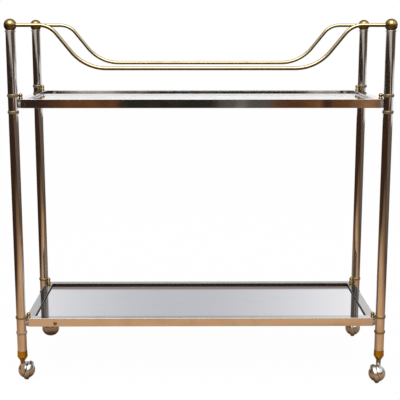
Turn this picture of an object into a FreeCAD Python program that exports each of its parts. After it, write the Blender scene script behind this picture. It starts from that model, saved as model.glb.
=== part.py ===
import FreeCAD, Part
import math
import os

# Bar cart: four round posts with ball tops, two dipped rails, a glass shelf and a mirrored one
# in square tube frames, and four ball casters that swivel and roll.
# Millimetres, +Z up, the front towards -Y, the origin on the floor under the cart's middle.

# Layout
post_spacing_x = 800.0        # between post axes, left to right
post_spacing_y = 316.0        # between post axes, front to back
ball_height = 788.9           # floor to the centres of the balls
upper_shelf_height = 633.2    # floor to the top of the upper frame
lower_shelf_height = 144.8    # floor to the top of the lower frame
caster_height = 50.5          # floor to the foot of the ferrules

# Clearances
slip_gap = 0.1                # around pieces that slide together and stay
running_gap = 0.05            # around a shaft that turns
face_gap = 0.4                # between faces that turn past each other
end_gap = 0.3                 # past the end of a pin in a blind hole

# Posts, their caps and the balls
post_diameter = 21.0
post_wall = 1.5
cap_diameter = 23.2
cap_thickness = 3.8
cap_edge = 0.4                # rounding of the cap's rim
cap_spigot = 14.0             # length inside the post
ball_diameter = 26.8
ball_rise = 10.4              # top of the cap to the ball's centre
ball_stud_diameter = 6.0
ball_stud_depth = 5.0         # into the ball

# Rails
rail_diameter = 8.0
rail_depth = 6.0              # into the ball
rail_end_run = 60.0           # post axis to the first bend
rail_drop = 90.0
rail_slope = 51.0             # degrees below level
rail_upper_bend = 46.0        # radius of the rod's centre line
rail_lower_bend = 95.0

# Collars above and below each shelf corner
collar_diameter = 24.4
collar_height = 6.8
collar_edge = 0.5             # thickness at its top and bottom
collar_spread = 35.3          # between the middles of a pair
upper_collar_shift = 0.4      # the pair's middle above the frame's
lower_collar_shift = -2.2

# Shelf frames
frame_inset = 7.3             # post axis to the frame's outer faces
bar_size = 19.0
bar_wall = 1.5
bar_edge = 0.5                # rounding along the bars
corner_facet = 7.5            # cut from each outer corner, measured along the sides
corner_spigot = 20.0          # length inside a bar
stud_diameter = 6.0
stud_depth = 12.0             # into the corner block
stud_proud = 0.5              # past the inside of the post's wall
spacer_diameter = 8.0

# The panes, glass above and mirror below, and the ledges under them
glass_recess = 4.5            # top of the frame to the glass
glass_thickness = 5.0
glass_gap = 1.0               # between the glass and the bars
glass_corner = 3.0
glass_arris = 0.6
ledge_width = 8.0
ledge_thickness = 5.0
ledge_screw_inset = 74.0      # left post's axis to the one screw in the lower front bar
ledge_screw_diameter = 3.4
ledge_screw_depth = 5.0       # into the ledge
screw_head_diameter = 8.5
screw_head_height = 1.6
screw_slot_width = 1.2
screw_slot_depth = 0.9

# Turned finials on the frame corners
finial_inset = 6.6            # from the frame's outer faces
finial_base_diameter = 9.6
finial_base_height = 3.8
finial_neck_diameter = 6.2
finial_neck_height = 0.6
finial_ball_diameter = 9.2
finial_spigot_diameter = 5.0
finial_floor = 1.5            # metal left between its hole and the stud's

# Ferrules and caster sockets
ferrule_top_diameter = 21.8
ferrule_waist_diameter = 22.8
ferrule_foot_diameter = 12.0
ferrule_barrel = 13.5         # height of the flaring barrel
ferrule_cone = 9.0            # height of the cone below it
ferrule_spigot = 16.0         # length inside the post
socket_diameter = 10.0
socket_length = 30.0
stem_diameter = 8.0
stem_bulb_diameter = 9.2
stem_bulb_height = 3.6
stem_depth = 8.0              # into the hood's neck

# Casters: the hood and the dome are parts of one ball, with the wheel's rim between them
caster_ball_diameter = 37.6
hood_wall = 2.2
dome_wall = 1.2
wheel_diameter = 43.0
wheel_width = 11.5
tread_round = 4.5             # rounding of the tread's two edges
rim_thickness = 7.0           # from the tread inwards
web_thickness = 3.0
hub_diameter = 12.0
neck_diameter = 10.4
boss_diameter = 11.0
axle_diameter = 5.0
axle_head_diameter = 9.0
axle_head_height = 1.8
axle_cover = 3.0              # metal between the axle's end and the hood's outside
axle_tilt = 15.0              # degrees that the axle dips towards the dome
wheel_trail = 13.6            # stem axis to the wheel's middle, behind it
wheel_offset = 9.8            # stem axis to the wheel's middle, towards the dome
ball_setback = 4.7            # wheel's middle to the ball's centre, along the axle

# The way each caster trails at rest, in degrees from +X
caster_heading = {
    "front_left": 88.0,
    "front_right": -91.0,
    "back_left": 5.0,
    "back_right": -93.0,
}

# Side of the cart that each corner is on
corner_sides = {
    "front_left": (-1, -1),
    "front_right": (1, -1),
    "back_left": (-1, 1),
    "back_right": (1, 1),
}

# What lies in each frame
pane_names = {"upper": "upper_glass", "lower": "lower_mirror"}

# Worked-out sizes
post_radius = post_diameter / 2
post_bore = post_radius - post_wall
post_foot = caster_height + ferrule_barrel + ferrule_cone
post_top = ball_height - ball_rise - cap_thickness
post_x = post_spacing_x / 2
post_y = post_spacing_y / 2
ball_radius = ball_diameter / 2
frame_x = post_x - frame_inset
frame_y = post_y - frame_inset
bay_x = frame_x - bar_size
bay_y = frame_y - bar_size
stud_radius = stud_diameter / 2
facet_reach = (frame_inset + corner_facet / 2) * math.sqrt(2)
finial_spigot = bar_size / 2 - stud_radius - slip_gap - finial_floor
tilt = math.radians(axle_tilt)
half_width = wheel_width / 2
tread_middle = wheel_diameter / 2 - tread_round
tread_reach = tread_middle * math.cos(tilt) + (half_width - tread_round) * math.sin(tilt)
wheel_height = tread_reach + tread_round
caster_ball_radius = caster_ball_diameter / 2
shelf_heights = {"upper": upper_shelf_height, "lower": lower_shelf_height}
collar_shifts = {"upper": upper_collar_shift, "lower": lower_collar_shift}


def vec(x, y, z):
    return FreeCAD.Vector(x, y, z)


ORIGIN = vec(0, 0, 0)
X_AXIS = vec(1, 0, 0)
Y_AXIS = vec(0, 1, 0)
UP = vec(0, 0, 1)
INWARD = vec(1, 1, 0).normalize()


def export(name, *shapes):
    solids = [solid for shape in shapes for solid in shape.Solids]
    whole = solids[0] if len(solids) == 1 else Part.makeCompound(solids)
    whole.exportStep("parts/%s.step" % name)


def box(low, high):
    size = high - low
    return Part.makeBox(size.x, size.y, size.z, low)


def rod(diameter, start, end):
    run = end - start
    return Part.makeCylinder(diameter / 2, run.Length, start, run)


def turned(start, *steps):
    """A solid turned about Z. Its half-profile goes from (radius, height) through the steps
    and back: a step is a point, or a middle and an end point for an arc."""
    edges = []
    here = vec(start[0], 0, start[1])
    for step in steps + (start,):
        if isinstance(step[0], tuple):
            middle, end = step
            there = vec(end[0], 0, end[1])
            edges.append(Part.Arc(here, vec(middle[0], 0, middle[1]), there).toShape())
        else:
            there = vec(step[0], 0, step[1])
            edges.append(Part.LineSegment(here, there).toShape())
        here = there
    return Part.Face(Part.Wire(edges)).revolve(ORIGIN, UP, 360)


def moved(shape, x, y, z):
    copy = shape.copy()
    copy.translate(vec(x, y, z))
    return copy


def at_corner(shape, corner):
    """The front left corner's shape, mirrored to the named corner."""
    side_x, side_y = corner_sides[corner]
    if side_x > 0:
        shape = shape.mirror(ORIGIN, X_AXIS)
    if side_y > 0:
        shape = shape.mirror(ORIGIN, Y_AXIS)
    return shape


def at_all_corners(shape):
    return [at_corner(shape, corner) for corner in corner_sides]


def from_post(distance, height):
    """A point on the line from the front left post's axis into the cart."""
    return vec(-post_x, -post_y, height) + INWARD * distance


def frame_middle(shelf):
    return shelf_heights[shelf] - bar_size / 2


# Posts: round tubes with a hole for each shelf's stud
def post():
    foot = vec(-post_x, -post_y, post_foot)
    head = vec(-post_x, -post_y, post_top)
    tube = rod(post_diameter, foot, head).cut(rod(2 * post_bore, foot, head))
    for shelf in shelf_heights:
        height = frame_middle(shelf)
        hole = rod(stud_diameter + 2 * slip_gap, from_post(0, height), from_post(post_diameter, height))
        tube = tube.cut(hole)
    return tube


# Caps: a flange on the post, dished for the ball, with a spigot in the post's bore
def post_cap():
    rim = cap_diameter / 2
    spigot = post_bore - slip_gap
    bore = ball_stud_diameter / 2 + slip_gap
    corner = cap_edge * (1 - math.sqrt(0.5))
    cap = turned(
        (bore, -cap_spigot),
        (spigot, -cap_spigot),
        (spigot, 0),
        (rim - cap_edge, 0),
        ((rim - corner, corner), (rim, cap_edge)),
        (rim, cap_thickness - cap_edge),
        ((rim - corner, cap_thickness - corner), (rim - cap_edge, cap_thickness)),
        (bore, cap_thickness),
    )
    dish = Part.makeSphere(ball_radius + slip_gap, vec(0, 0, cap_thickness + ball_rise))
    return moved(cap.cut(dish), -post_x, -post_y, post_top)


# Balls: drilled from below for the stud and from the inner side for the rail
def ball():
    middle = vec(-post_x, -post_y, ball_height)
    whole = Part.makeSphere(ball_radius, middle)
    foot = middle - UP * (ball_radius + ball_rise)
    stud_end = middle - UP * (ball_radius - ball_stud_depth - end_gap)
    rail_end = middle + X_AXIS * (ball_radius - rail_depth - end_gap)
    side = middle + X_AXIS * (ball_radius + rail_depth)
    whole = whole.cut(rod(ball_stud_diameter + 2 * slip_gap, foot, stud_end))
    return whole.cut(rod(rail_diameter + 2 * slip_gap, rail_end, side))


def ball_stud():
    low = vec(-post_x, -post_y, post_top - cap_spigot)
    high = vec(-post_x, -post_y, ball_height - ball_radius + ball_stud_depth)
    return rod(ball_stud_diameter, low, high)


# Rails: one bent rod each, level at both balls and dipped between two double bends
def rail(y):
    slope = math.radians(rail_slope)
    bends_drop = (rail_upper_bend + rail_lower_bend) * (1 - math.cos(slope))
    slant = (rail_drop - bends_drop) / math.sin(slope)
    end_x = post_x - ball_radius + rail_depth
    bend_x = post_x - rail_end_run
    upper_x = bend_x - rail_upper_bend * math.sin(slope)
    upper_z = ball_height - rail_upper_bend * (1 - math.cos(slope))
    lower_x = upper_x - slant * math.cos(slope)
    lower_z = upper_z - slant * math.sin(slope)
    flat_x = lower_x - rail_lower_bend * math.sin(slope)
    flat_z = ball_height - rail_drop
    upper_middle_x = bend_x - rail_upper_bend * math.sin(slope / 2)
    upper_middle_z = ball_height - rail_upper_bend * (1 - math.cos(slope / 2))
    lower_middle_x = flat_x + rail_lower_bend * math.sin(slope / 2)
    lower_middle_z = flat_z + rail_lower_bend * (1 - math.cos(slope / 2))

    def half(side):
        end = vec(side * end_x, y, ball_height)
        bend = vec(side * bend_x, y, ball_height)
        upper = vec(side * upper_x, y, upper_z)
        lower = vec(side * lower_x, y, lower_z)
        flat = vec(side * flat_x, y, flat_z)
        upper_middle = vec(side * upper_middle_x, y, upper_middle_z)
        lower_middle = vec(side * lower_middle_x, y, lower_middle_z)
        return [
            Part.LineSegment(end, bend).toShape(),
            Part.Arc(bend, upper_middle, upper).toShape(),
            Part.LineSegment(upper, lower).toShape(),
            Part.Arc(lower, lower_middle, flat).toShape(),
        ]

    flat_run = Part.LineSegment(vec(-flat_x, y, flat_z), vec(flat_x, y, flat_z)).toShape()
    path = Part.Wire(Part.__sortEdges__(half(-1) + [flat_run] + half(1)))
    section = Part.Wire(Part.makeCircle(rail_diameter / 2, vec(-end_x, y, ball_height), X_AXIS))
    return path.makePipeShell([section], True, False)


# Collars: half-round rings on the posts
def collar(height):
    bore = post_radius + slip_gap
    edge = bore + collar_edge
    half = collar_height / 2
    ring = turned((bore, -half), (edge, -half), ((collar_diameter / 2, 0), (edge, half)), (bore, half))
    return moved(ring, -post_x, -post_y, height)


# Shelf frames: square tubes on the spigots of solid corner blocks
def square_tube(length):
    half = bar_size / 2
    bore = half - bar_wall
    tube = box(vec(-length / 2, -half, -half), vec(length / 2, half, half))
    long_edges = [edge for edge in tube.Edges if abs(edge.tangentAt(edge.FirstParameter).x) > 0.9]
    tube = tube.makeFillet(bar_edge, long_edges)
    return tube.cut(box(vec(-length / 2, -bore, -bore), vec(length / 2, bore, bore)))


def long_bar(side, shelf):
    return moved(square_tube(2 * bay_x), 0, side * (frame_y - bar_size / 2), frame_middle(shelf))


def short_bar(side, shelf):
    tube = square_tube(2 * bay_y)
    tube.rotate(ORIGIN, UP, 90)
    return moved(tube, side * (frame_x - bar_size / 2), 0, frame_middle(shelf))


def corner_block(shelf):
    low = frame_middle(shelf) - bar_size / 2
    corner = vec(-frame_x, -frame_y, low)
    outline = [
        corner + vec(corner_facet, 0, 0),
        corner + vec(bar_size, 0, 0),
        corner + vec(bar_size, bar_size, 0),
        corner + vec(0, bar_size, 0),
        corner + vec(0, corner_facet, 0),
    ]
    block = Part.Face(Part.makePolygon(outline + outline[:1])).extrude(UP * bar_size)
    outer = [edge for edge in block.Edges if is_outer_rim(edge)]
    block = block.makeFillet(bar_edge, outer)
    thick = bar_size / 2 - bar_wall - slip_gap
    middle = vec(-frame_x + bar_size / 2, -frame_y + bar_size / 2, frame_middle(shelf))
    reach = bar_size / 2 + corner_spigot
    block = block.fuse(box(middle - vec(0, thick, thick), middle + vec(reach, thick, thick)))
    block = block.fuse(box(middle - vec(thick, 0, thick), middle + vec(thick, reach, thick)))
    stud_end = from_post(facet_reach + stud_depth + end_gap, frame_middle(shelf))
    block = block.cut(rod(stud_diameter + 2 * slip_gap, from_post(0, frame_middle(shelf)), stud_end))
    top = finial_foot(shelf)
    hole = rod(finial_spigot_diameter + 2 * slip_gap, top - UP * (finial_spigot + end_gap), top + UP)
    return block.cut(hole)


def is_outer_rim(edge):
    """True for a level edge of the block that lies on the frame's outside."""
    if abs(edge.tangentAt(edge.FirstParameter).z) > 0.1:
        return False
    middle = edge.CenterOfMass
    return middle.x < -frame_x + bar_size * 0.9 and middle.y < -frame_y + bar_size * 0.9


def finial_foot(shelf):
    return vec(-frame_x + finial_inset, -frame_y + finial_inset, shelf_heights[shelf])


def corner_stud(shelf):
    height = frame_middle(shelf)
    start = from_post(post_bore - stud_proud, height)
    return rod(stud_diameter, start, from_post(facet_reach + stud_depth, height))


def corner_spacer(shelf):
    height = frame_middle(shelf)
    start = from_post(0, height)
    end = from_post(facet_reach, height)
    sleeve = rod(spacer_diameter, start, end).cut(rod(stud_diameter + 2 * slip_gap, start, end))
    low = vec(-post_x, -post_y, height - spacer_diameter)
    high = vec(-post_x, -post_y, height + spacer_diameter)
    return sleeve.cut(rod(post_diameter + 2 * slip_gap, low, high))


# Finials: a bead, a waist and a ball, screwed into the corner block
def finial(shelf):
    base = finial_base_diameter / 2
    neck = finial_neck_diameter / 2
    ball_r = finial_ball_diameter / 2
    spigot = finial_spigot_diameter / 2
    bead_edge = (base + neck) / 2
    neck_top = finial_base_height + finial_neck_height
    ball_middle = neck_top + math.sqrt(ball_r**2 - neck**2)
    piece = turned(
        (0, -finial_spigot),
        (spigot, -finial_spigot),
        (spigot, 0),
        (bead_edge, 0),
        ((base, finial_base_height / 2), (bead_edge, finial_base_height)),
        (neck, finial_base_height),
        (neck, neck_top),
        ((ball_r, ball_middle), (0, ball_middle + ball_r)),
    )
    foot = finial_foot(shelf)
    return moved(piece, foot.x, foot.y, foot.z)


# Panes on ledges inside the frames
def pane(shelf):
    top = shelf_heights[shelf] - glass_recess
    x = bay_x - glass_gap
    y = bay_y - glass_gap
    plate = box(vec(-x, -y, top - glass_thickness), vec(x, y, top))
    upright = [edge for edge in plate.Edges if abs(edge.tangentAt(edge.FirstParameter).z) > 0.9]
    plate = plate.makeFillet(glass_corner, upright)
    rims = [edge for edge in plate.Edges if abs(edge.tangentAt(edge.FirstParameter).z) < 0.1]
    return plate.makeChamfer(glass_arris, rims)


def ledge_top(shelf):
    return shelf_heights[shelf] - glass_recess - glass_thickness


def ledges(shelf):
    high = ledge_top(shelf)
    low = high - ledge_thickness
    inner_x = bay_x - ledge_width
    inner_y = bay_y - ledge_width
    return [
        box(vec(-bay_x, -bay_y, low), vec(bay_x, -inner_y, high)),
        box(vec(-bay_x, inner_y, low), vec(bay_x, bay_y, high)),
        box(vec(-bay_x, -inner_y, low), vec(-inner_x, inner_y, high)),
        box(vec(inner_x, -inner_y, low), vec(bay_x, inner_y, high)),
    ]


# The screw through the lower front bar into its ledge
def ledge_screw_line(depth):
    """A point on the screw's axis, at a depth behind the bar's front face."""
    return vec(ledge_screw_inset - post_x, -frame_y + depth, ledge_top("lower") - ledge_thickness / 2)


def ledge_screw_hole():
    end = bar_size + ledge_screw_depth + end_gap
    return rod(ledge_screw_diameter + 2 * slip_gap, ledge_screw_line(0), ledge_screw_line(end))


def ledge_screw():
    rim = screw_head_diameter / 2
    shank = ledge_screw_diameter / 2
    length = bar_size + ledge_screw_depth
    crown = screw_head_height
    screw = turned(
        (0, -length),
        (shank, -length),
        (shank, 0),
        (rim, 0),
        (rim, crown / 3),
        ((rim * 0.6, crown * 0.8), (0, crown)),
    )
    slot_low = vec(-2 * rim, -screw_slot_width / 2, crown - screw_slot_depth)
    screw = screw.cut(box(slot_low, vec(2 * rim, screw_slot_width / 2, 2 * crown)))
    screw.rotate(ORIGIN, X_AXIS, 90)
    place = ledge_screw_line(0)
    return moved(screw, place.x, place.y, place.z)


# Ferrules: turned feet with a spigot in the post and a bore for the caster's socket
def ferrule():
    bore = socket_diameter / 2 + slip_gap
    shoulder = ferrule_cone + ferrule_barrel
    spigot = post_bore - slip_gap
    piece = turned(
        (bore, 0),
        (ferrule_foot_diameter / 2, 0),
        (ferrule_waist_diameter / 2, ferrule_cone),
        (ferrule_top_diameter / 2, shoulder),
        (spigot, shoulder),
        (spigot, shoulder + ferrule_spigot),
        (bore, shoulder + ferrule_spigot),
    )
    return moved(piece, -post_x, -post_y, caster_height)


def caster_socket():
    foot = vec(-post_x, -post_y, caster_height)
    head = foot + UP * socket_length
    return rod(socket_diameter, foot, head).cut(rod(stem_diameter + 2 * running_gap, foot, head))


# Casters, made at a stem on the Z axis, trailing along +X with the dome towards -Y
AXLE = vec(0, -math.cos(tilt), -math.sin(tilt))
WHEEL_MIDDLE = vec(wheel_trail, -wheel_offset, wheel_height)
BALL_MIDDLE = WHEEL_MIDDLE - AXLE * ball_setback


def on_axle(shape):
    """A shape turned about Z, laid on the axle with Z towards the dome."""
    copy = shape.copy()
    copy.Placement = FreeCAD.Placement(WHEEL_MIDDLE, FreeCAD.Rotation(UP, AXLE))
    return copy


def caster_stem():
    shaft = stem_diameter / 2
    bulb = stem_bulb_diameter / 2
    low = caster_height - face_gap - stem_depth
    bulb_foot = caster_height + socket_length + face_gap
    bulb_top = bulb_foot + stem_bulb_height
    return turned(
        (0, low),
        (shaft, low),
        (shaft, bulb_foot),
        (bulb, bulb_foot),
        (bulb, bulb_foot + stem_bulb_height / 3),
        (shaft / 2, bulb_top),
        (0, bulb_top),
    )


def axle_end():
    """Where the axle stops inside the hood, measured along it from the wheel's middle."""
    return axle_cover - ball_setback - caster_ball_radius


def caster_hood():
    ball = Part.makeSphere(caster_ball_radius, BALL_MIDDLE)
    shell = ball.cut(Part.makeSphere(caster_ball_radius - hood_wall, BALL_MIDDLE))
    boss = on_axle(rod(boss_diameter, UP * -caster_ball_diameter, ORIGIN))
    neck_foot = vec(0, 0, wheel_height)
    neck = rod(neck_diameter, neck_foot, vec(0, 0, caster_height - face_gap))
    neck = neck.fuse(Part.makeSphere(neck_diameter / 2, neck_foot))
    inner_face = UP * (-half_width - face_gap)
    wheel_room = rod(wheel_diameter + 2 * face_gap, inner_face, UP * caster_ball_diameter)
    hood = shell.fuse(boss.common(ball)).fuse(neck).cut(on_axle(wheel_room))
    stem_end = vec(0, 0, caster_height - face_gap - stem_depth - end_gap)
    hood = hood.cut(rod(stem_diameter + 2 * slip_gap, stem_end, vec(0, 0, caster_height)))
    axle_hole = rod(axle_diameter + 2 * slip_gap, UP * (axle_end() - end_gap), ORIGIN)
    return hood.cut(on_axle(axle_hole))


def caster_axle():
    seat = half_width + face_gap
    pin = rod(axle_diameter, UP * axle_end(), UP * seat)
    head = rod(axle_head_diameter, UP * seat, UP * (seat + axle_head_height))
    return on_axle(pin.fuse(head).removeSplitter())


def wheel_rim():
    bore = axle_diameter / 2 + running_gap
    hub = hub_diameter / 2
    web = web_thickness / 2
    outer = wheel_diameter / 2
    inner = outer - rim_thickness
    side = outer - tread_round
    bend = tread_round * math.sqrt(0.5)
    flat = half_width - tread_round
    return on_axle(
        turned(
            (bore, -half_width),
            (hub, -half_width),
            (hub, -web),
            (inner, -web),
            (inner, -half_width),
            (side, -half_width),
            ((side + bend, -flat - bend), (outer, -flat)),
            (outer, flat),
            ((side + bend, flat + bend), (side, half_width)),
            (inner, half_width),
            (inner, web),
            (hub, web),
            (hub, half_width),
            (bore, half_width),
        )
    )


def wheel_dome():
    ball = Part.makeSphere(caster_ball_radius, BALL_MIDDLE)
    shell = ball.cut(Part.makeSphere(caster_ball_radius - dome_wall, BALL_MIDDLE))
    beyond_rim = rod(wheel_diameter, UP * half_width, UP * caster_ball_diameter)
    return shell.common(on_axle(beyond_rim))


def at_caster(shape, corner):
    """A caster's shape, turned to its heading and set under its post."""
    side_x, side_y = corner_sides[corner]
    copy = shape.copy()
    copy.rotate(ORIGIN, UP, caster_heading[corner])
    copy.translate(vec(side_x * post_x, side_y * post_y, 0))
    return copy


os.makedirs("parts", exist_ok=True)

caster_pieces = {
    "caster_stem": caster_stem(),
    "caster_hood": caster_hood(),
    "caster_axle": caster_axle(),
    "wheel_rim": wheel_rim(),
    "wheel_dome": wheel_dome(),
}

for corner in corner_sides:
    export("post_" + corner, at_corner(post(), corner))
    export("ball_" + corner, at_corner(ball(), corner))
    export("ferrule_" + corner, at_corner(ferrule(), corner))
    for piece, shape in caster_pieces.items():
        export("%s_%s" % (piece, corner), at_caster(shape, corner))

export("post_caps", *at_all_corners(post_cap()))
export("ball_studs", *at_all_corners(ball_stud()))
export("caster_sockets", *at_all_corners(caster_socket()))
export("front_rail", rail(-post_y))
export("back_rail", rail(post_y))

corner_studs = []
corner_spacers = []
for shelf in shelf_heights:
    pair_middle = frame_middle(shelf) + collar_shifts[shelf]
    collars = []
    for height in (pair_middle - collar_spread / 2, pair_middle + collar_spread / 2):
        collars += at_all_corners(collar(height))
    front_bar = long_bar(-1, shelf)
    glass_ledges = ledges(shelf)
    if shelf == "lower":
        front_bar = front_bar.cut(ledge_screw_hole())
        glass_ledges = [ledge.cut(ledge_screw_hole()) for ledge in glass_ledges]
    export(shelf + "_collars", *collars)
    export(shelf + "_front_bar", front_bar)
    export(shelf + "_back_bar", long_bar(1, shelf))
    export(shelf + "_left_bar", short_bar(-1, shelf))
    export(shelf + "_right_bar", short_bar(1, shelf))
    export(shelf + "_corner_blocks", *at_all_corners(corner_block(shelf)))
    corner_studs += at_all_corners(corner_stud(shelf))
    corner_spacers += at_all_corners(corner_spacer(shelf))
    export(shelf + "_glass_ledges", *glass_ledges)
    export(pane_names[shelf], pane(shelf))
    export(shelf + "_finials", *at_all_corners(finial(shelf)))

export("corner_studs", *corner_studs)
export("corner_spacers", *corner_spacers)
export("ledge_screw", ledge_screw())
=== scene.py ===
# %% [markdown]
# # A bar cart in chrome, brass and glass
# The cart has four chrome posts on ball casters, a glass shelf and a mirrored shelf in chrome
# frames, and brass balls, rails, collars and feet. Every piece comes ready made from the CAD
# model, which is loaded as a fixed frame that nothing here moves. So this lesson is about
# finishes: what makes plated steel, brass, glass and a mirror look like themselves, and what
# polished metal needs around it to reflect.

# %% Load the frame
import math

import bpy
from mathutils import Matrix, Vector

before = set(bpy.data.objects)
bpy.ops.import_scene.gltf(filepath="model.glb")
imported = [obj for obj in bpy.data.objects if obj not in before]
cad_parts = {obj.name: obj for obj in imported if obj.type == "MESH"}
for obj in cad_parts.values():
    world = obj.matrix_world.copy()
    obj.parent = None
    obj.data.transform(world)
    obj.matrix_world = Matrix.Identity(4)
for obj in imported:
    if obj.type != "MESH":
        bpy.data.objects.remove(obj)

scene = bpy.context.scene
scene.view_settings.view_transform = "Standard"
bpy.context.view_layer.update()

# %% [markdown]
# ## The camera
# The cart is seen from about two metres away, from just above its top shelf. The camera could
# be aimed by eye, but a place worked out from the balls, collars and feet puts every piece
# within a pixel or two of where it belongs. A pinhole camera's focal length in pixels turns
# into Blender's lens through the width of the sensor.

# %% Camera
SENSOR_WIDTH = 36.0
IMAGE_WIDTH = 400
FOCAL_LENGTH_PIXELS = 912.9
CAMERA_PLACE = (-0.0138, -2.1082, 0.7846)
LOOK_LEVEL = 90
LOOK_DOWN = 10.72
LOOK_RIGHT = 0.35

camera_data = bpy.data.cameras.new("camera")
camera_data.sensor_width = SENSOR_WIDTH
camera_data.lens = SENSOR_WIDTH * FOCAL_LENGTH_PIXELS / IMAGE_WIDTH
camera = bpy.data.objects.new("camera", camera_data)
camera.location = CAMERA_PLACE
camera.rotation_euler = (math.radians(LOOK_LEVEL - LOOK_DOWN), 0, math.radians(-LOOK_RIGHT))
scene.collection.objects.link(camera)
scene.camera = camera
print("lens", round(camera_data.lens, 2), "mm")

# %% [markdown]
# ## Shader maths in Python
# A finish is a small calculation that runs at every point of a surface. It could be drawn as
# boxes and wires, but sums are easier to read as sums. The class below stands for one output
# of a node. A sum with it makes the Math node that works it out, and its add method makes any
# other node: settings first, then the values or wires of its sockets.


# %% Wires
class Wire:
    """One output of a shader node, which can be used in sums."""

    def __init__(self, tree, socket):
        self.tree = tree
        self.socket = socket

    def add(self, kind, settings, sockets, output=0):
        """Add a node of this kind and give one of its outputs."""
        node = self.tree.nodes.new(kind)
        for name, value in settings.items():
            setattr(node, name, value)
        for name, value in sockets.items():
            if isinstance(value, Wire):
                self.tree.links.new(value.socket, node.inputs[name])
            else:
                node.inputs[name].default_value = value
        return Wire(self.tree, node.outputs[output]) if node.outputs else None

    def output(self, name):
        """Another output of the same node."""
        return Wire(self.tree, self.socket.node.outputs[name])

    def maths(self, operation, first, second):
        """Add the Math node of one operation."""
        return self.add("ShaderNodeMath", {"operation": operation}, {0: first, 1: second})

    def __add__(self, other):
        return self.maths("ADD", self, other)

    def __radd__(self, other):
        return self.maths("ADD", other, self)

    def __sub__(self, other):
        return self.maths("SUBTRACT", self, other)

    def __rsub__(self, other):
        return self.maths("SUBTRACT", other, self)

    def __mul__(self, other):
        return self.maths("MULTIPLY", self, other)

    def __rmul__(self, other):
        return self.maths("MULTIPLY", other, self)

    def __truediv__(self, other):
        return self.maths("DIVIDE", self, other)

    def __rtruediv__(self, other):
        return self.maths("DIVIDE", other, self)

    def __neg__(self):
        return self.maths("SUBTRACT", 0.0, self)

    def __abs__(self):
        return self.maths("ABSOLUTE", self, 0.0)


def new_finish(name):
    """An empty material, and the wire that says where on its piece a point lies, in metres."""
    material = bpy.data.materials.new(name)
    material.use_nodes = True
    material.node_tree.nodes.clear()
    places = material.node_tree.nodes.new("ShaderNodeTexCoord")
    return material, Wire(material.node_tree, places.outputs["Object"])


print("wires ready")

# %% [markdown]
# ## Small helpers for patterns
# Most surface patterns come from a few moves. Fade turns a height, a distance or a noise into
# a soft mask, and between makes a band with two soft ends. Noise gives smooth random values,
# which can be drawn out along one direction. Blend mixes two colours by a mask. Colours are
# written as they look on the screen, from 0 to 255, and turned into the linear values that
# light is added in.

# %% Colours
SCREEN_WHITE = 255
LINEAR_LIMIT = 0.04045
LINEAR_SLOPE = 12.92
CURVE_SHIFT = 0.055
CURVE_POWER = 2.4


def shown(red, green, blue):
    """A colour as the screen shows it, turned into linear values by the usual screen formula."""
    linear = []
    for channel in (red, green, blue):
        share = channel / SCREEN_WHITE
        if share <= LINEAR_LIMIT:
            linear.append(share / LINEAR_SLOPE)
        else:
            linear.append(((share + CURVE_SHIFT) / (1 + CURVE_SHIFT)) ** CURVE_POWER)
    return (*linear, 1.0)


WHITE = shown(255, 255, 255)
print("white is", WHITE)

# %% Blends
# A Mix node has sockets of the same names for numbers, vectors and colours, so the ones for
# colours go by their places.
MIX_SHARE = 0
MIX_FIRST = 6
MIX_SECOND = 7
MIX_RESULT = 2


def blend(first, second, share):
    """A colour that goes from the first to the second as share goes from 0 to 1."""
    colours = {MIX_SHARE: share, MIX_FIRST: first, MIX_SECOND: second}
    return share.add("ShaderNodeMix", {"data_type": "RGBA"}, colours, MIX_RESULT)


print("blends ready")


# %% Masks and noises
def fade(value, low, high):
    """A mask that is 0 up to low, 1 from high on, and soft between them."""
    limits = {"Value": value, "From Min": low, "From Max": high}
    return value.add("ShaderNodeMapRange", {"interpolation_type": "SMOOTHSTEP"}, limits)


def between(value, low, high, soft):
    """A mask that is 1 from low to high, with soft ends."""
    return fade(value, low - soft, low + soft) * (1 - fade(value, high - soft, high + soft))


def noise(place, size, detail=2.0, stretch=(1, 1, 1)):
    """Smooth random values around 0.5. Their lumps have this size, longer where stretch is below 1."""
    drawn = place.add("ShaderNodeVectorMath", {"operation": "MULTIPLY"}, {0: place, 1: stretch})
    return place.add("ShaderNodeTexNoise", {}, {"Vector": drawn, "Scale": 1 / size, "Detail": detail})


def split(place):
    """The three coordinates of a place or a direction."""
    parts = place.add("ShaderNodeSeparateXYZ", {}, {"Vector": place})
    return parts, parts.output("Y"), parts.output("Z")


print("pattern helpers ready")

# %% [markdown]
# ## The floor
# The cart stands on a plain white floor that fades into a white background. A floor lit to
# pure white would need far more light than the cart should get. So most of its white is its
# own glow, shown to rays from the camera and through the glass, and the rest is plain matt
# paint that takes the cart's soft shadow.

# %% Floor
FLOOR_DEPTH = 0.0002
FLOOR_HALF = 8.0
FLOOR_GLOW = 0.98
FLOOR_PAINT = shown(246, 246, 245)


def flat_square(name, half, height):
    """A level square around the origin."""
    signs = ((-1, -1), (1, -1), (1, 1), (-1, 1))
    corners = [(half * across, half * along, height) for across, along in signs]
    mesh = bpy.data.meshes.new(name)
    mesh.from_pydata(corners, [], [(0, 1, 2, 3)])
    square = bpy.data.objects.new(name, mesh)
    scene.collection.objects.link(square)
    return square


def seen_directly(place):
    """1 for rays that come from the camera, off a mirror or through glass."""
    rays = place.add("ShaderNodeLightPath", {}, {})
    mirrored = rays.output("Is Glossy Ray") + rays.output("Is Transmission Ray")
    return rays.output("Is Camera Ray") + mirrored


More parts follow.
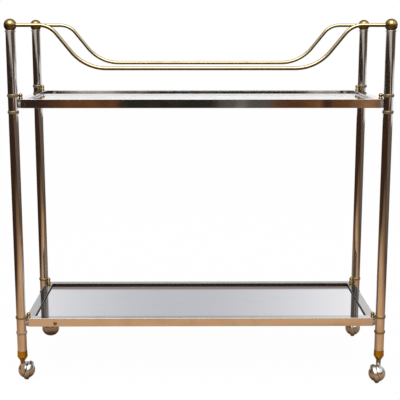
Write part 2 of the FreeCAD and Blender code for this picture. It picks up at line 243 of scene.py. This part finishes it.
floor = flat_square("floor", FLOOR_HALF, -FLOOR_DEPTH)
floor_paint, place = new_finish("floor_paint")
paint = place.add("ShaderNodeBsdfDiffuse", {}, {"Color": FLOOR_PAINT})
glow = place.add("ShaderNodeEmission", {}, {"Color": WHITE})
share = seen_directly(place) * FLOOR_GLOW
surface = place.add("ShaderNodeMixShader", {}, {0: share, 1: paint, 2: glow})
place.add("ShaderNodeOutputMaterial", {}, {"Surface": surface})
floor.data.materials.append(floor_paint)
floor.visible_glossy = False
print("floor", 2 * FLOOR_HALF, "m square")

# %% [markdown]
# ## What the metal reflects
# Polished metal has hardly any look of its own: it shows the room. On an empty white stage
# chrome turns flat and pale, so photographers stand cards around it. The cards could be lamps,
# but then they would also light the cart. So they glow for mirror rays only, and the camera
# never sees them.

# %% Cards
CARD_DEPTH = 0.002
CARD_GLOW = 1.45


def only_in_mirrors(card):
    """Show a card to mirror rays and to nothing else."""
    card.visible_camera = False
    card.visible_diffuse = False
    card.visible_transmission = False
    card.visible_shadow = False


def glowing(material, place, colour):
    """Finish a card with a glow that isn't used as a lamp."""
    light = place.add("ShaderNodeEmission", {}, {"Color": colour, "Strength": CARD_GLOW})
    place.add("ShaderNodeOutputMaterial", {}, {"Surface": light})
    material.cycles.emission_sampling = "NONE"
    return material


print("cards glow at", CARD_GLOW)

# %% [markdown]
# ## Boards under the cart
# The first card lies on the floor, because bars, posts and casters show what the cart stands
# on: warm boards in a pool of light, shaded under the cart and dark further out. Every plank
# could be drawn, but bent metal blurs them, so a grain drawn out along the boards is enough.
# Each wheel gets a painted shadow: a dark spot where it stands.


# %% Places on the floor
def middle(piece):
    """The middle of a piece, seen from above."""
    corners = [piece.matrix_world @ Vector(corner) for corner in piece.bound_box]
    centre = sum(corners, Vector()) / len(corners)
    return (centre.x, centre.y, 0.0)


def distance(place, point):
    """How far a place is from a point."""
    ends = {0: place, 1: point}
    return place.add("ShaderNodeVectorMath", {"operation": "DISTANCE"}, ends, "Value")


wheels = [middle(piece) for node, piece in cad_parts.items() if "wheel_rim" in node]
print(len(wheels), "wheels stand on the floor")

# %% Boards for the metal
BOARDS = shown(204, 163, 124)
WORN_BOARDS = shown(186, 142, 102)
DARK_BOARDS = shown(58, 39, 27)
GREY_BOARDS = shown(100, 86, 75)
DIM_BOARDS = shown(128, 100, 76)
GRAIN_SIZE = 0.12
GRAIN_DETAIL = 3.0
GRAIN_STRETCH = (0.25, 1, 1)
GRAIN_EDGE = (0.45, 0.7)
POOL_MIDDLE = (0.0, -0.5, 0.0)
POOL_EDGE = (0.35, 1.3)
TAIL_EDGE = (0.9, 3.0)
TAIL_BAND = (-0.95, 1.2, 0.35)
GREY_EDGE = (0.9, 1.9)
SHADE = 0.85
SHADE_ACROSS = (0.4, 0.6)
SHADE_ALONG = (0.14, 0.36)
SPOT_SHADE = 0.9
SPOT_EDGE = (0.012, 0.042)


def boards():
    """Warm boards in a pool of light before the cart, shaded under it and dark further out."""
    material, place = new_finish("boards")
    across, along, _ = split(place)
    away = distance(place, POOL_MIDDLE)
    pool = 1 - fade(away, *POOL_EDGE)
    tail = (1 - fade(away, *TAIL_EDGE)) * between(across, *TAIL_BAND)
    outer = blend(blend(DARK_BOARDS, GREY_BOARDS, fade(across, *GREY_EDGE)), DIM_BOARDS, tail)
    under = (1 - fade(abs(across), *SHADE_ACROSS)) * (1 - fade(abs(along), *SHADE_ALONG))
    # Painted shadow: a dark spot on the boards under each wheel.
    spots = sum(1 - fade(distance(place, wheel), *SPOT_EDGE) for wheel in wheels)
    grain = noise(place, GRAIN_SIZE, GRAIN_DETAIL, GRAIN_STRETCH)
    warm = blend(BOARDS, WORN_BOARDS, fade(grain, *GRAIN_EDGE))
    lit = blend(outer, warm, pool * (1 - under * SHADE))
    return glowing(material, place, blend(lit, DARK_BOARDS, spots * SPOT_SHADE))


boards_card = flat_square("boards_card", FLOOR_HALF, -CARD_DEPTH)
boards_card.data.materials.append(boards())
only_in_mirrors(boards_card)
print("the boards are lit for", POOL_EDGE[1], "m")

# %% [markdown]
# ## A room around the cart
# The second card is a dome with a room painted on it. A picture could be wrapped round it, but
# bands of plain colour are enough, because a post squeezes a whole wall into a few pixels. Each
# band is a mask over the metres across, along and up. First comes the dome itself, and then
# its walls one by one.

# %% Dome for the metal
DOME_RADIUS = 6.0
DOME_RINGS = 32
DOME_SEGMENTS = 96


def half_dome(name, radius):
    """A dome that stands on the floor."""
    points = []
    faces = []
    for ring in range(DOME_RINGS + 1):
        rise = math.pi / 2 * ring / DOME_RINGS
        level = radius * math.cos(rise)
        for segment in range(DOME_SEGMENTS):
            turn = 2 * math.pi * segment / DOME_SEGMENTS
            points.append((level * math.cos(turn), level * math.sin(turn), radius * math.sin(rise)))
    for ring in range(DOME_RINGS):
        first = ring * DOME_SEGMENTS
        above = first + DOME_SEGMENTS
        for segment in range(DOME_SEGMENTS):
            after = (segment + 1) % DOME_SEGMENTS
            faces.append((first + segment, first + after, above + after, above + segment))
    mesh = bpy.data.meshes.new(name)
    mesh.from_pydata(points, [], faces)
    dome = bpy.data.objects.new(name, mesh)
    scene.collection.objects.link(dome)
    return dome


dome = half_dome("dome", DOME_RADIUS)
only_in_mirrors(dome)
print("dome of", len(dome.data.polygons), "faces")

# %% [markdown]
# ## Wood at the foot of the front wall
# The bars at the front show what stands low before the cart: patchy red wood with a seam and a
# light board at its right, and a black and a grey board in the middle. The boards could be
# modelled, but a square bar shows them only as upright stripes, so each is a band across.

# %% Wood
DARK_WOOD = shown(50, 38, 30)
RED_WOOD = shown(114, 71, 42)
LIGHT_WOOD = shown(152, 110, 77)
BLACK_WOOD = shown(40, 39, 35)
FOOT_GREY = shown(114, 110, 106)
WOOD_TOP = (0.2, 0.3)
PATCH_SIZE = 0.14
PATCH_DETAIL = 4.0
PATCH_STRETCH = (1, 1, 0.5)
PATCH_EDGE = (0.35, 0.6)
PATCH_LEAST = 0.4
PATCH_MORE = 0.5
RED_START = (-1.33, -1.18)
BLACK_BOARD = (-0.66, 0.65, 0.04)
GREY_BOARD = (0.18, 0.65, 0.04)
PALE_BOARD = (0.31, 0.43, 0.03)
GREY_SHARE = 0.45
SLIVER = (1.02, 1.05, 0.012)
SLIVER_SHARE = 0.5
SEAM = (1.07, 1.14, 0.012)
LIGHT_BOARD = (1.33, 1.56, 0.03)


def wood_foot(place, across, up):
    """Patchy red wood with a seam and a light board at the right, and black and grey boards."""
    low = 1 - fade(up, *WOOD_TOP)
    lumps = noise(place, PATCH_SIZE, PATCH_DETAIL, PATCH_STRETCH)
    patches = PATCH_LEAST + fade(lumps, *PATCH_EDGE) * PATCH_MORE
    red = patches * fade(across, *RED_START) * (1 - between(across, *SEAM))
    light = between(across, *SLIVER) * SLIVER_SHARE + between(across, *LIGHT_BOARD)
    grey = between(across, *GREY_BOARD) * GREY_SHARE
    pale = between(across, *PALE_BOARD) * (1 - GREY_SHARE)
    brown = blend(blend(DARK_WOOD, RED_WOOD, low * red), LIGHT_WOOD, low * light)
    black = blend(brown, BLACK_WOOD, low * between(across, *BLACK_BOARD))
    return blend(black, FOOT_GREY, low * (grey + pale))


print("wood up to", WOOD_TOP[1], "m")

# %% [markdown]
# ## The gap over the wood
# The upper halves of the posts show a pale wedge between dark borders, so the wall has a bright
# gap there, which goes on upwards in two slots. Ruled borders would look too clean on an old
# tube. A noise that changes only with the height lets them stray to the side, as they do where
# the plating is wavy.

# %% Gap
NOISE_MIDDLE = 0.5
BY_HEIGHT = (0, 0, 1)
WANDER_SIZE = 0.16
WANDER_REACH = 5.0
GAP_SLANT = 0.044
GAP_FOOT = (0.45, 0.57)
GAP_RIGHT = (1.6, 3.2)
SLOT_FOOT = (0.8, 0.95)
LEFT_SLOT = (-1.1, -0.5, 0.12)
RIGHT_SLOT = (0.97, 1.27, 0.05)


def wander(place):
    """How far an upright border strays to the side at each height."""
    return (noise(place, WANDER_SIZE, stretch=BY_HEIGHT) - NOISE_MIDDLE) * WANDER_REACH


def pale_gap(place, across, up):
    """1 in a gap above the wood, which is wide at first and goes on in two slots."""
    bent = across + wander(place)
    wide = fade(up + bent * GAP_SLANT, *GAP_FOOT) * (1 - fade(bent, *GAP_RIGHT))
    slots = between(across, *LEFT_SLOT) + between(across, *RIGHT_SLOT)
    high = fade(up, *SLOT_FOOT)
    return wide * (1 - high) + slots * high


print("gap from", GAP_FOOT[0], "m up")

# %% [markdown]
# ## The front wall
# The wall is put together from the floor up, as a painter would: the wood, then the gap with
# its streaks, then dim wood beside a window, which the balls and rails show. Separate cards
# could stand there instead, but one wall leaves no cracks between them.

# %% Front wall
DIM_GREY = shown(112, 100, 90)
PALE_GREY = shown(214, 205, 196)
HIGH_WOOD = shown(86, 77, 68)
WINDOW_GREY = shown(176, 174, 172)
STREAK_SIZE = 0.35
STREAK_STRETCH = (1, 1, 0.2)
STREAK_EDGE = (0.44, 0.56)
WINDOW_FOOT = (1.3, 1.6)
WINDOW_EDGE = (0.2, 0.7)
BESIDE_ALONG = (-5.2, -4.0)
BESIDE_ACROSS = (-1.0, 4.0)
BESIDE_SHARE = 0.45


def front_wall(place, across, along, up):
    """The wood, the streaky gap over it, and dim wood beside a window at the top."""
    streaks = fade(noise(place, STREAK_SIZE, stretch=STREAK_STRETCH), *STREAK_EDGE)
    gap = blend(DIM_GREY, PALE_GREY, streaks)
    lower = blend(wood_foot(place, across, up), gap, pale_gap(place, across, up))
    beside = fade(along, *BESIDE_ALONG) * fade(across, *BESIDE_ACROSS)
    window = 1 - fade(abs(across), *WINDOW_EDGE) + beside * BESIDE_SHARE
    return blend(lower, blend(HIGH_WOOD, WINDOW_GREY, window), fade(up, *WINDOW_FOOT))


print("window from", WINDOW_FOOT[0], "m up")

# %% [markdown]
# ## The right wall
# A round post squeezes the whole right side of the room into its right edge, which is dark with
# a pale line. So the front wall goes over into dim wood there, with a pale strip before it and
# a pale foot further back. Both could be cards of their own, but bands are less work, and the
# strip can stray like the gap.

# %% Right wall
RIGHT_WOOD = shown(84, 72, 64)
FOOT_PALE = shown(222, 217, 216)
RIGHT_START = (3.0, 5.0)
STRIP = (2.1, 3.0, 0.2)
STRIP_HEIGHT = (0.15, 0.62, 0.06)
FOOT_ALONG = (-2.7, -1.1)
FOOT_ACROSS = (2.0, 4.0)
FOOT_TOP = (0.42, 0.56)


def right_wall(front, place, across, along, up):
    """The front wall, going over into dim wood with a pale strip and a pale foot."""
    dim = fade(across, *RIGHT_START) * (1 - fade(up, *WINDOW_FOOT))
    strip = between(across + wander(place), *STRIP) * between(up, *STRIP_HEIGHT)
    foot = fade(along, *FOOT_ALONG) * fade(across, *FOOT_ACROSS) * (1 - fade(up, *FOOT_TOP))
    wood = blend(front, RIGHT_WOOD, dim)
    return blend(blend(wood, PALE_GREY, strip), FOOT_PALE, foot)


print("pale foot up to", FOOT_TOP[1], "m")

# %% [markdown]
# ## The back wall
# The mirrored shelf shows the back wall: pale below, a grey band, a thin brown ledge and an
# upper part that is dim in its middle. The bands could go by height, but on a round dome a
# level line looks bent in a flat mirror. Height over depth, which is the slope that the wall
# is seen at, keeps every band straight.

# %% Back wall
PALE_WALL = shown(221, 220, 219)
GREY_WALL = shown(187, 186, 185)
BROWN_GREY = shown(122, 108, 104)
HIGH_GREY = shown(228, 227, 227)
LOW_GREY = shown(172, 172, 175)
GREY_SLOPE = (0.26, 0.28)
LEDGE_SLOPE = (0.3045, 0.306)
UPPER_SLOPE = (0.311, 0.314)
DIM_MIDDLE = -0.15
DIM_EDGE = (0.1, 2.4)


def back_wall(across, along, up):
    """A pale wall with a grey band, a brown ledge, and an upper part that is dim in its middle."""
    slope = up / along
    dim = 1 - fade(abs(across - DIM_MIDDLE), *DIM_EDGE)
    grey = blend(PALE_WALL, GREY_WALL, fade(slope, *GREY_SLOPE))
    ledge = blend(grey, BROWN_GREY, fade(slope, *LEDGE_SLOPE))
    return blend(ledge, blend(HIGH_GREY, LOW_GREY, dim), fade(slope, *UPPER_SLOPE))


print("ledge at a slope of", LEDGE_SLOPE[0])

# %% [markdown]
# ## The ceiling and the whole room
# A ceiling closes the room. All white would do for the front view, but seen from above the
# mirror would then be as white as the floor and seem to be missing. So the ceiling is white in
# front, grey behind and dim at the left, and the walls fade into it.

# %% Room
CEILING_GREY = shown(190, 191, 194)
LEFT_GREY = shown(150, 142, 134)
CEILING_BACK = (-0.5, 1.5)
CEILING_LEFT = (2.5, 4.5)
SIDE_TOP = (2.1, 2.7)
CEILING_FOOT = (2.6, 3.4)
BACK_START = (1.2, 4.4)
BACK_LEFT = (-4.4, -2.4)


def room():
    """The walls, under a ceiling that is white in front, grey behind and dim at the left."""
    material, place = new_finish("room")
    across, along, up = split(place)
    plain = blend(WHITE, CEILING_GREY, fade(along, *CEILING_BACK))
    ceiling = blend(plain, LEFT_GREY, fade(-across, *CEILING_LEFT))
    front = front_wall(place, across, along, up)
    side = blend(right_wall(front, place, across, along, up), ceiling, fade(up, *SIDE_TOP))
    behind = fade(along, *BACK_START) * fade(across, *BACK_LEFT)
    wall = blend(side, back_wall(across, along, up), behind)
    return glowing(material, place, blend(wall, ceiling, fade(up, *CEILING_FOOT)))


dome.data.materials.append(room())
print("ceiling from", CEILING_FOOT[0], "m up")

# %% [markdown]
# ## Light
# Small lamps would throw hard shadows on the floor. Soft light from the front and above is plain
# studio practice: one wide round lamp, and a pale world around it, which together show a grey
# card about as grey as it is. The lamp is also the bright spot that the metal shows. The world
# is brighter to rays that look straight at it, so that the background is white, also in a
# mirror or through the glass.

# %% Lamp and world
LAMP_WIDTH = 3.4
LAMP_PLACE = (-0.1, -2.3, 3.7)
LAMP_TILT = 33
LAMP_WATTS = 120.0
WORLD_LIGHT = 0.5

lamp_data = bpy.data.lights.new("soft_lamp", "AREA")
lamp_data.shape = "DISK"
lamp_data.size = LAMP_WIDTH
lamp_data.energy = LAMP_WATTS
lamp = bpy.data.objects.new("soft_lamp", lamp_data)
lamp.location = LAMP_PLACE
lamp.rotation_euler = (math.radians(LAMP_TILT), 0, 0)
scene.collection.objects.link(lamp)

world = bpy.data.worlds.new("white_room")
world.use_nodes = True
world.node_tree.nodes.clear()
directions = world.node_tree.nodes.new("ShaderNodeTexCoord")
sky = Wire(world.node_tree, directions.outputs["Generated"])
strength = seen_directly(sky) * (1 - WORLD_LIGHT) + WORLD_LIGHT
light = sky.add("ShaderNodeBackground", {}, {"Color": WHITE, "Strength": strength})
sky.add("ShaderNodeOutputWorld", {}, {"Surface": light})
scene.world = world
print("lamp of", LAMP_WATTS, "W over a world of", WORLD_LIGHT)

# %% [markdown]
# ## Worn places and painted shade
# Plating wears or stays rough in certain places, and other places get a painted shade: the
# inner faces of the lower bars, the undersides of the brass and the necks of the casters. All of
# them can be told from where a point lies and which way its surface looks. They could be painted
# by hand, but a mask worked out from the place and the normal needs no painting and holds for
# all pieces of a kind.

# %% Worn places and painted shade
INNER_EDGE = (0.05, 0.12)
SLANT_EDGE = (0.2, 0.3)
UNDER_EDGE = (-0.1, 0.6)
NECK_FOOT = (0.041, 0.045)
CORNER_EDGE = (0.0, 0.1)
LOW_COLLAR_TOP = (0.125, 0.135)


def inner_faces(place):
    """1 on the faces that look at the middle of the cart, where a dark shade is painted."""
    across, along, _ = split(place)
    turn_x, turn_y, _ = split(place.output("Normal"))
    return fade(-(across * turn_x + along * turn_y), *INNER_EDGE)


def slanted_faces(place):
    """1 on the faces that look out over a corner, where the file left the metal dull."""
    turn_x, turn_y, _ = split(place.output("Normal"))
    return fade(abs(turn_x * turn_y), *SLANT_EDGE)


def undersides(place):
    """1 where the metal looks down."""
    _, _, turn_z = split(place.output("Normal"))
    return fade(-turn_z, *UNDER_EDGE)


def necks(place):
    """1 on the necks of the casters, where a darker shade is painted."""
    _, _, up = split(place)
    return fade(up, *NECK_FOOT)


def lost_brass(place):
    """1 on the lowest collar of the front left post, which has lost its brass."""
    across, along, up = split(place)
    front_left = fade(-across, *CORNER_EDGE) * fade(-along, *CORNER_EDGE)
    return front_left * (1 - fade(up, *LOW_COLLAR_TOP))


print("necks begin", NECK_FOOT[0], "m up")

# %% [markdown]
# ## Metal
# Plated tube isn't a perfect mirror. Polishing leaves fine lines along it, the tube under the
# plate is a little wavy, and years leave dull clouds and pits. A scanned texture could show all
# of that, but noises need no picture and no unwrapping, so each of these is one noise. Lines,
# clouds and pits change the roughness, clouds and pits dull the colour, and waves and pits tilt
# the surface, so that reflections wander.

# %% Metal finish
CLOUD_SIZE = 0.035
CLOUD_DETAIL = 4.0
CLOUD_EDGE = (0.46, 0.72)
CLOUD_TINT = 0.6
CLOUD_HAZE = 0.5
SCUFF_WIDTH = 0.0012
SCUFF_DETAIL = 3.0
SCUFF_EDGE = (0.5, 0.75)
SCUFF_HAZE = 0.4
PIT_WIDTH = 0.0022
PIT_EDGE = (0.70, 0.78)
PIT_DEPTH = 0.0001
PIT_TINT = 4
PIT_HAZE = 2
WAVE_WIDTH = 0.02
PLAIN_DETAIL = 1.0
MASKED_ROUGHNESS = 0.3


def coat(place, skin):
    """Give a material its shader."""
    shader = place.add("ShaderNodeBsdfPrincipled", {}, skin)
    place.add("ShaderNodeOutputMaterial", {}, {"Surface": shader})


def metal(name, bright, dull, lines, gloss=0.04, haze=0.1, wave=0.00005, pits=0.06, bare=None,
          satin=0.0, edge=WHITE):
    """A polished metal, scuffed along the direction where lines is below 1.

    The optional mask comes with its colour and marks worn places and places of painted shade;
    satin takes the shine off them, or off the whole piece where no mask is given.
    """
    material, place = new_finish(name)
    clouds = fade(noise(place, CLOUD_SIZE, CLOUD_DETAIL), *CLOUD_EDGE)
    scuffs = fade(noise(place, SCUFF_WIDTH, SCUFF_DETAIL, lines), *SCUFF_EDGE)
    spots = fade(noise(place, PIT_WIDTH, PLAIN_DETAIL), *PIT_EDGE)
    waves = noise(place, WAVE_WIDTH, PLAIN_DETAIL, lines)
    rolled = place.add("ShaderNodeBump", {}, {"Distance": wave, "Height": waves})
    pitted = {"Strength": pits, "Distance": PIT_DEPTH, "Height": 1 - spots, "Normal": rolled}
    colour = blend(bright, dull, clouds * CLOUD_TINT + spots * (PIT_TINT * pits))
    hazy = clouds * haze * CLOUD_HAZE + scuffs * haze * SCUFF_HAZE
    roughness = gloss + hazy + spots * (PIT_HAZE * pits)
    dullness = satin
    if bare:
        where, bare_colour = bare
        mask = where(place)
        colour = blend(colour, bare_colour, mask)
        roughness = roughness + mask * MASKED_ROUGHNESS
        dullness = mask * satin if satin else 0.0
    coat(place, {
        "Base Color": colour,
        "Metallic": 1 - dullness,
        "Roughness": roughness,
        "Specular Tint": edge,
        "Normal": place.add("ShaderNodeBump", {}, pitted),
    })
    return material


print("scuffs of", SCUFF_WIDTH, "m and pits of", PIT_WIDTH, "m")

# %% [markdown]
# ## Chrome
# The posts, bars, blocks and casters are steel with a coat of chrome. One finish could serve
# them all, but polishing lines follow each piece: tubes have them along their length, and small
# pieces have none. The lower bars get a painted shade on their inner faces and the casters on
# their necks, the blocks have filed facets, and the spacers and casters are duller than the tubes.

# %% Chrome finishes
ALONG_X = (0.02, 1, 1)
ALONG_Y = (1, 0.02, 1)
ALONG_Z = (1, 1, 0.02)
EVEN = (1, 1, 1)
CHROME = shown(201, 200, 199)
DULL_CHROME = shown(190, 188, 185)
LOW_CHROME = shown(180, 179, 178)
# Painted shade for the faces of the lower bars that look inwards:
INNER_SHADE = shown(52, 49, 46)
FILED_STEEL = shown(168, 167, 166)
# Painted shade for the necks of the casters:
NECK_SHADE = shown(126, 115, 103)


def chrome(name, lines, bright=CHROME, **more):
    """A chrome finish."""
    return metal(name, bright, DULL_CHROME, lines, **more)


# Painted shade: the faces of the lower bars that look inwards are painted nearly black.
painted_inner_shade = (inner_faces, INNER_SHADE)
post_chrome = chrome("post_chrome", ALONG_Z)
long_bar_chrome = chrome("long_bar_chrome", ALONG_X)
side_bar_chrome = chrome("side_bar_chrome", ALONG_Y)
low_long_chrome = chrome("low_long_chrome", ALONG_X, bare=painted_inner_shade)
low_side_chrome = chrome("low_side_chrome", ALONG_Y, LOW_CHROME, bare=painted_inner_shade)
block_chrome = chrome("block_chrome", EVEN, gloss=0.08, bare=(slanted_faces, FILED_STEEL), satin=0.7)
spacer_chrome = chrome("spacer_chrome", EVEN, gloss=0.3, bare=(undersides, FILED_STEEL), satin=0.7)
# Painted shade: the necks of the casters, under the feet, are painted darker.
caster_chrome = chrome("caster_chrome", EVEN, gloss=0.22, wave=0, pits=0, bare=(necks, NECK_SHADE))
print("chrome finishes ready")

# %% [markdown]
# ## Brass
# The brass is old, and each kind of piece has aged in its own way: hands keep the rails pale,
# the balls and finials stay golden, the collars have gone tan and the feet amber. One brass with
# stronger clouds could stand for all of them, but then the pieces would be patchy rather than
# different. Metal turns white where it is seen edge on, and old brass stays brown there, so the
# tint of that edge is set as well.

# %% Brass finishes
PALE_BRASS = shown(172, 159, 127)
# Painted shade for the undersides of the rails and balls:
UNDERSIDE_SHADE = shown(98, 78, 42)
BRASS = shown(156, 134, 88)
DULL_BRASS = shown(136, 112, 66)
BROWN_BRASS = shown(104, 85, 58)
AGED_BRASS = shown(88, 75, 59)
TAN_BRASS = shown(130, 112, 88)
GREY_BRASS = shown(116, 102, 82)
WORN_BRASS = shown(160, 140, 102)
DIM_BRASS = shown(140, 122, 90)
PLAIN_RING = shown(190, 172, 152)
AMBER = shown(178, 142, 38)

# Painted shade: the undersides of the rails and balls are painted darker brown.
painted_underside_shade = (undersides, UNDERSIDE_SHADE)
rail_brass = metal("rail_brass", PALE_BRASS, BRASS, EVEN, gloss=0.18, haze=0.06, wave=0, pits=0,
                   bare=painted_underside_shade, edge=DULL_BRASS)
ball_brass = metal("ball_brass", BRASS, DULL_BRASS, EVEN, gloss=0.2, wave=0, pits=0,
                   bare=painted_underside_shade, edge=AGED_BRASS)
finial_brass = metal("finial_brass", BRASS, DULL_BRASS, EVEN, gloss=0.16, haze=0.2, edge=DULL_BRASS)
collar_brass = metal("collar_brass", TAN_BRASS, GREY_BRASS, EVEN, gloss=0.3, haze=0.3, satin=0.5,
                     edge=BROWN_BRASS)
low_collar_brass = metal("low_collar_brass", WORN_BRASS, DIM_BRASS, EVEN, gloss=0.5, haze=0.2,
                         bare=(lost_brass, PLAIN_RING), edge=DULL_BRASS)
foot_brass = metal("foot_brass", AMBER, BROWN_BRASS, ALONG_Z, gloss=0.1, haze=0.2)
print("brass finishes ready")

# %% [markdown]
# ## Steel
# Studs, sockets, stems and axles are hidden in the cart, and the ledge screw shows only its
# head. They could be left grey, but the same metal with more roughness costs nothing and still
# looks right when the cart is taken apart. The screw has turned brown with age.

# %% Steel finishes
STEEL = shown(150, 148, 146)
DULL_STEEL = shown(110, 106, 102)
SCREW_STEEL = shown(140, 118, 90)
DULL_SCREW = shown(104, 84, 62)

steel = metal("steel", STEEL, DULL_STEEL, ALONG_Z, gloss=0.3, haze=0.3)
screw_steel = metal("screw_steel", SCREW_STEEL, DULL_SCREW, EVEN, gloss=0.3, haze=0.3)
print("steel finishes ready")

# %% [markdown]
# ## Glass
# The upper shelf is grey float glass. A transparent shader would be quicker, but real refraction
# is worth its cost here, because the edge of the pane then shows dark inside its frame by
# itself. Light crosses two faces on its way through, so each face takes half of the tint. Faint
# smears change the tint and the roughness a little.

# %% Glass finish
GLASS_TINT = shown(178, 179, 183)
SMEARED_TINT = shown(172, 173, 177)
SMEAR_SIZE = 0.06
SMEAR_DETAIL = 4.0
SMEAR_STRETCH = (1, 0.4, 1)
SMEAR_EDGE = (0.5, 0.75)
SMEAR_ROUGHNESS = 0.03
GLASS_IOR = 1.5

grey_glass, place = new_finish("grey_glass")
smears = fade(noise(place, SMEAR_SIZE, SMEAR_DETAIL, SMEAR_STRETCH), *SMEAR_EDGE)
coat(place, {
    "Base Color": blend(GLASS_TINT, SMEARED_TINT, smears),
    "Roughness": smears * SMEAR_ROUGHNESS,
    "IOR": GLASS_IOR,
    "Transmission Weight": 1.0,
})
print("glass ready")

# %% [markdown]
# ## Mirror
# The lower shelf is a mirror: glass with silver on its back. It could be a glass slab over a
# silver one, but nothing of the glass shows except its greenish ground edge. So the top is
# silver, the edge is dull and dark, the back is painted grey as mirrors are, and a little dust
# takes some of the shine off.

# %% Mirror finish
SILVER = shown(234, 235, 238)
DUSTY_SILVER = shown(231, 232, 234)
GROUND_EDGE = shown(72, 76, 68)
BACKING_PAINT = shown(124, 122, 120)
FACE_EDGE = (0.4, 0.6)
DUST_SIZE = 0.05
DUST_DETAIL = 4.0
DUST_EDGE = (0.5, 0.75)
DUST_ROUGHNESS = 0.005
EDGE_ROUGHNESS = 0.5
FACE_POLISH = 0.49

silver_mirror, place = new_finish("silver_mirror")
_, _, turn_z = split(place.output("Normal"))
face = fade(turn_z, *FACE_EDGE)
dust = fade(noise(place, DUST_SIZE, DUST_DETAIL), *DUST_EDGE)
rest = blend(GROUND_EDGE, BACKING_PAINT, fade(-turn_z, *FACE_EDGE))
coat(place, {
    "Base Color": blend(rest, blend(SILVER, DUSTY_SILVER, dust), face),
    "Metallic": face,
    "Roughness": EDGE_ROUGHNESS - face * FACE_POLISH + dust * face * DUST_ROUGHNESS,
})
print("mirror ready")

# %% [markdown]
# ## Dressing the pieces
# Each CAD node gets its finish by name. The table could list all the nodes, but pieces of one
# kind share a word, so a list of words for each finish is shorter and still holds when a piece
# is added. Where two words fit, the longer one counts. A piece that no word fits stops the
# script, so none is left in its plain CAD colour.

# %% Dress the nodes
WARDROBE = {
    post_chrome: ("post_front", "post_back", "post_caps"),
    long_bar_chrome: ("front_bar", "back_bar"),
    side_bar_chrome: ("left_bar", "right_bar"),
    low_long_chrome: ("lower_front_bar", "lower_back_bar"),
    low_side_chrome: ("lower_left_bar", "lower_right_bar"),
    block_chrome: ("corner_blocks", "glass_ledges"),
    spacer_chrome: ("corner_spacers",),
    caster_chrome: ("caster_hood", "wheel_rim", "wheel_dome"),
    ball_brass: ("ball_front", "ball_back"),
    finial_brass: ("finials",),
    rail_brass: ("_rail",),
    collar_brass: ("_collars",),
    low_collar_brass: ("lower_collars",),
    foot_brass: ("ferrule",),
    steel: ("_studs", "caster_sockets", "caster_stem", "caster_axle"),
    screw_steel: ("ledge_screw",),
    grey_glass: ("_glass",),
    silver_mirror: ("_mirror",),
}
finishes = {word: finish for finish, words in WARDROBE.items() for word in words}


def dress(node, piece):
    """Give a piece the finish of the longest word that its name holds."""
    words = [word for word in finishes if word in node]
    piece.data.materials.clear()
    piece.data.materials.append(finishes[max(words, key=len)])


for node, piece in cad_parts.items():
    dress(node, piece)
print("dressed", len(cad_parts), "nodes in", len(WARDROBE), "finishes")
